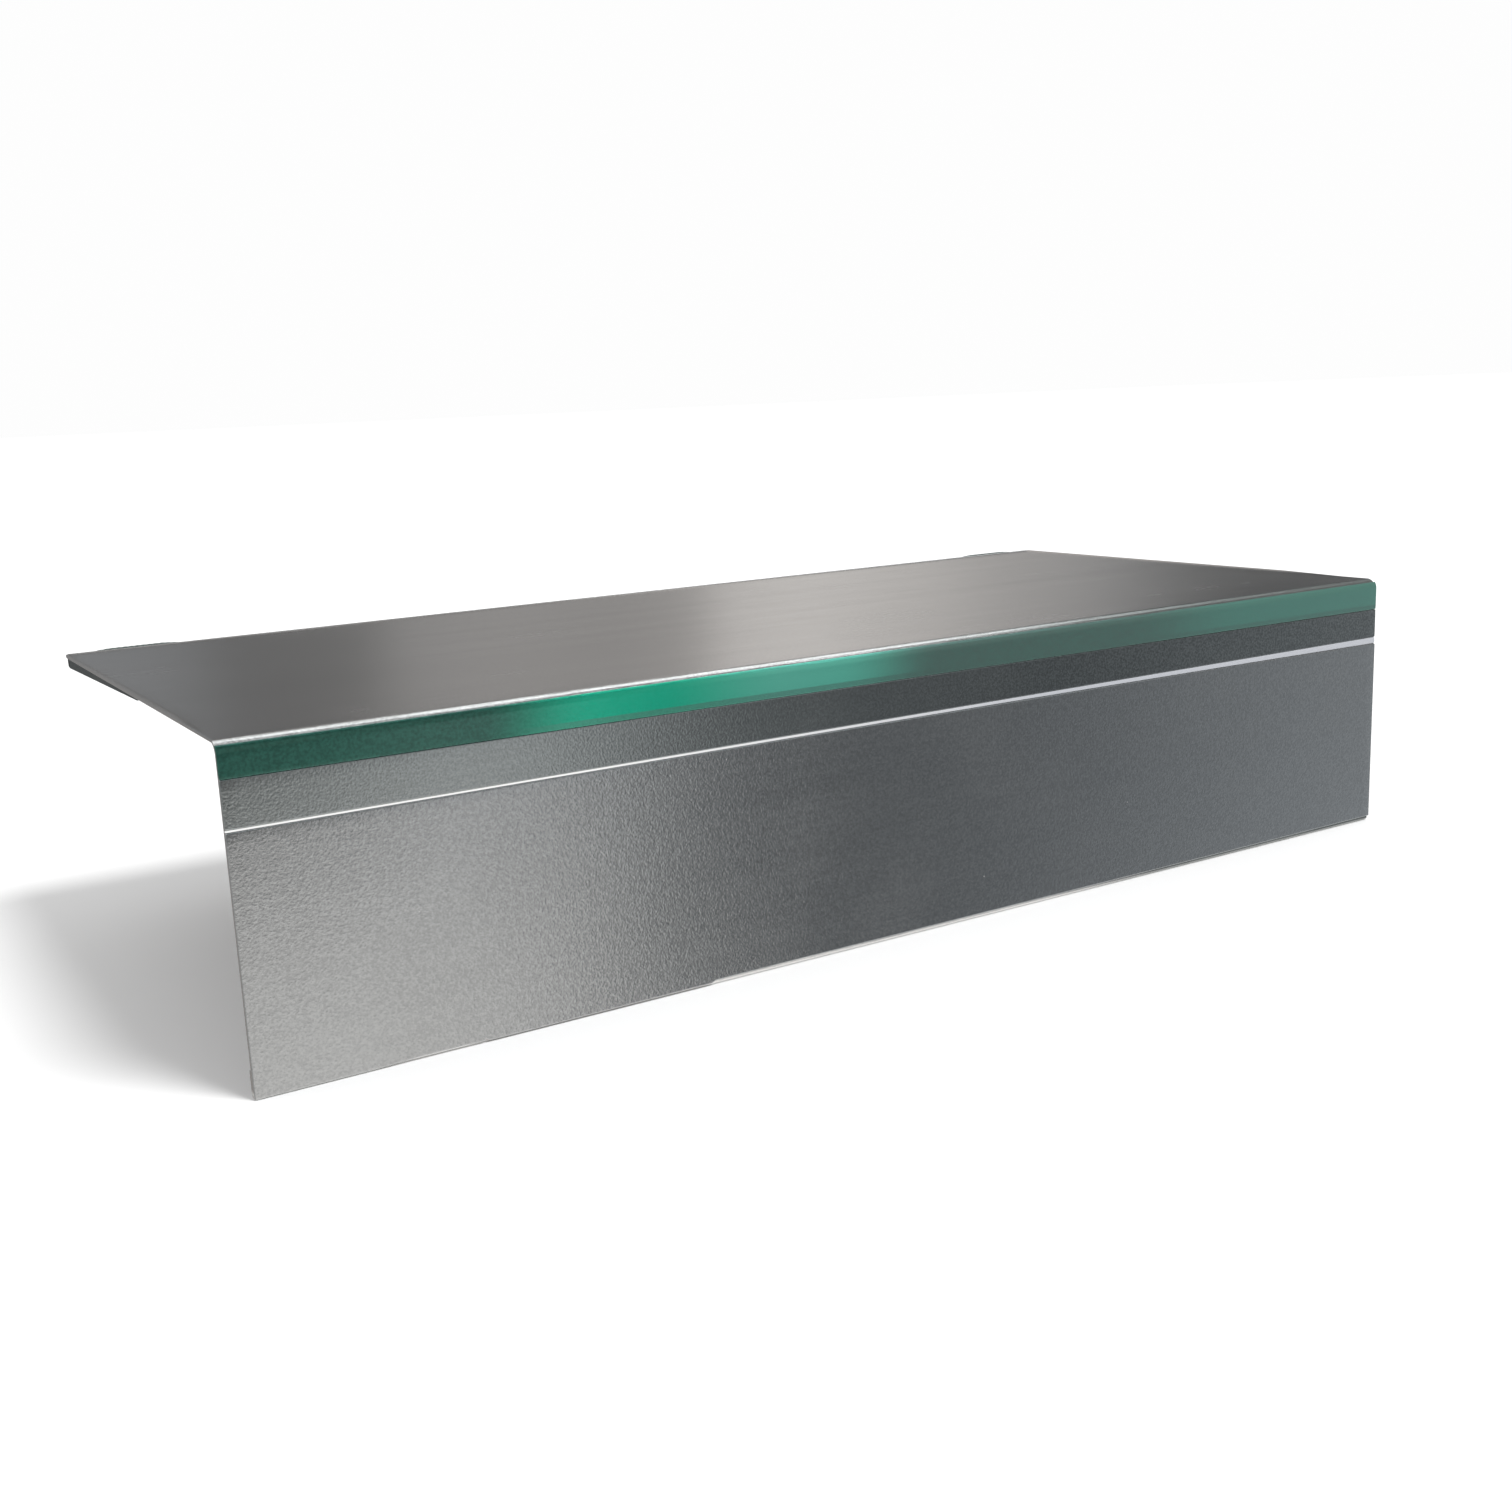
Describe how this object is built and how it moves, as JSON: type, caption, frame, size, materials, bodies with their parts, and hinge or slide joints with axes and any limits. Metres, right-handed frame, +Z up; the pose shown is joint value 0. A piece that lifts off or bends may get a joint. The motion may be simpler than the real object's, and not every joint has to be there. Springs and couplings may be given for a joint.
{
  "type": "wall shelf with brackets",
  "caption": "Folded sheet-metal wall shelf with a deep banded front apron, sliding onto a concealed steel wall bracket.",
  "frame": {"origin": "on the wall plane, midway along the shelf and 50 mm below its top face", "axes": "+X along the shelf to the right as seen from the room, +Y out of the back of the rail into the wall, +Z up"},
  "size_m": [0.6, 0.2785, 0.131],
  "materials": {
    "satin_steel": "satin, faint lengthwise brushing",
    "green_lacquer": "glossy translucent green over metal",
    "dark_steel": "dark satin with a fine grain",
    "bright_steel": "bright polished edge",
    "grained_steel": "satin with a fine leather grain",
    "bracket_paint": "dark green-grey powder coat",
    "zinc_plate": "galvanised",
    "black_plastic": "matt moulded",
    "buffer_rubber": "matt green-grey"
  },
  "bodies": {
    "wall_bracket": {"wall_rail": "bracket_paint", "main_arm_left": "bracket_paint", "main_arm_right": "bracket_paint", "arm_cap_left": "black_plastic", "arm_cap_right": "black_plastic", "arm_gusset_left": "bracket_paint", "arm_gusset_right": "bracket_paint", "outer_arm_left": "bracket_paint", "outer_arm_right": "bracket_paint", "wall_screw_1": "zinc_plate", "wall_screw_2": "zinc_plate", "wall_screw_3": "zinc_plate", "wall_screw_4": "zinc_plate", "wall_washer_1": "zinc_plate", "wall_washer_2": "zinc_plate", "wall_washer_3": "zinc_plate", "wall_washer_4": "zinc_plate"},
    "shelf": {"shelf_sheet": "satin_steel", "green_trim_strip": "green_lacquer", "dark_trim_strip": "dark_steel", "bright_inlay_strip": "bright_steel", "lower_face_panel": "grained_steel", "front_stiffener": "zinc_plate", "apron_rib_left": "zinc_plate", "apron_rib_centre": "zinc_plate", "apron_rib_right": "zinc_plate", "arm_sleeve_left": "zinc_plate", "arm_sleeve_right": "zinc_plate", "weld_nut_left": "zinc_plate", "weld_nut_right": "zinc_plate", "back_buffer_left": "buffer_rubber", "back_buffer_right": "buffer_rubber"},
    "lock_screw_left": {"lock_screw_left": "zinc_plate"},
    "lock_screw_right": {"lock_screw_right": "zinc_plate"}
  },
  "joints": [
    {"name": "shelf_slide_off", "type": "slide", "parent": "wall_bracket", "child": "shelf", "axis": [0, -1, 0], "range_m": [0, 0.17]},
    {"name": "lock_screw_left_travel", "type": "slide", "parent": "shelf", "child": "lock_screw_left", "axis": [0, 0, -1], "range_m": [0, 0.005]},
    {"name": "lock_screw_right_travel", "type": "slide", "parent": "shelf", "child": "lock_screw_right", "axis": [0, 0, -1], "range_m": [0, 0.005]}
  ]
}
